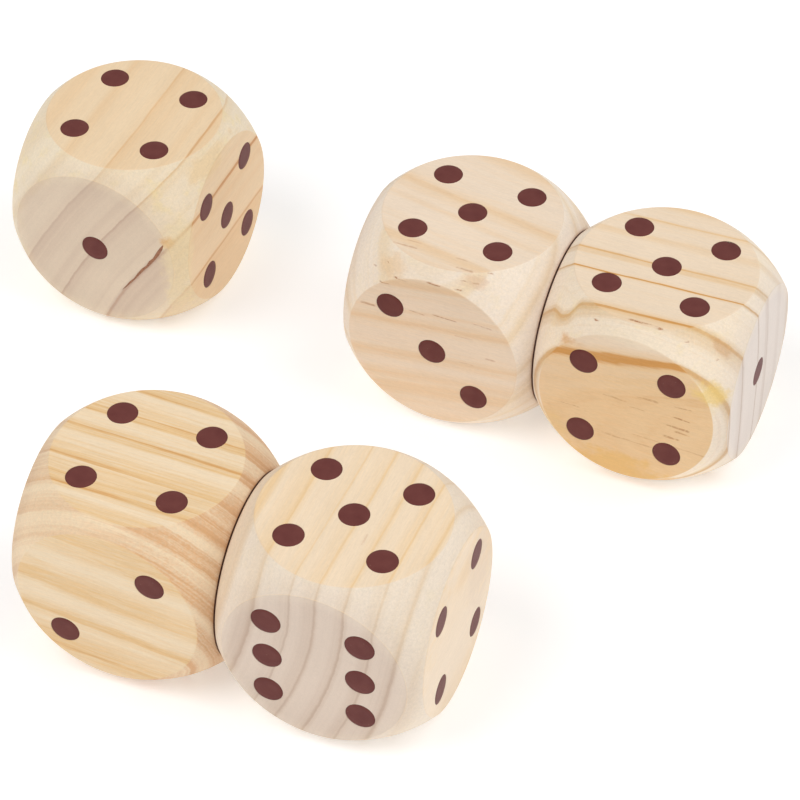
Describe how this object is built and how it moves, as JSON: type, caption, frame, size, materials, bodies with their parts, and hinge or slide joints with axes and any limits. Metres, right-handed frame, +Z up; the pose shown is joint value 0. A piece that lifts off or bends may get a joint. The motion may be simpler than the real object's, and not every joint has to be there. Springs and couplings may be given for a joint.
{
  "type": "yard dice set",
  "caption": "Loose giant wooden dice for lawn games, lying as thrown: cubes turned to a ball at the edges and corners, with round flats and stamped pips.",
  "frame": {"origin": "on the ground, in the middle of the footprint of the dice as they lie after the throw", "axes": "+X along the footprint's long side, +Y towards the die that lies alone and the pair beside it, +Z up"},
  "size_m": [0.348, 0.289, 0.09],
  "materials": {
    "pine": "bare sanded pine, smooth and matt with a faint sheen",
    "pip_ink": "burgundy brown ink film, crisp-edged and semi-matt"
  },
  "bodies": {
    "die_1": {"die_1": "pine"},
    "die_2": {"die_2": "pine"},
    "die_3": {"die_3": "pine"},
    "die_4": {"die_4": "pine"},
    "die_5": {"die_5": "pine"}
  },
  "joints": [
    {"name": "tip_die_2", "type": "hinge", "parent": "die_1", "child": "die_2", "pos_m": [0.0385, 0.0515, 0], "axis": [1, 0, 0], "range_deg": [0, 90]},
    {"name": "tip_die_3", "type": "hinge", "parent": "die_1", "child": "die_3", "pos_m": [0.129, 0.0515, 0], "axis": [1, 0, 0], "range_deg": [0, 90]},
    {"name": "tip_die_4", "type": "hinge", "parent": "die_1", "child": "die_4", "pos_m": [-0.02177, -0.14297, 0], "axis": [0.9993, 0.0384, 0], "range_deg": [0, 90]},
    {"name": "tip_die_5", "type": "hinge", "parent": "die_1", "child": "die_5", "pos_m": [0.06866, -0.13949, 0], "axis": [0.9993, 0.0384, 0], "range_deg": [0, 90]}
  ]
}
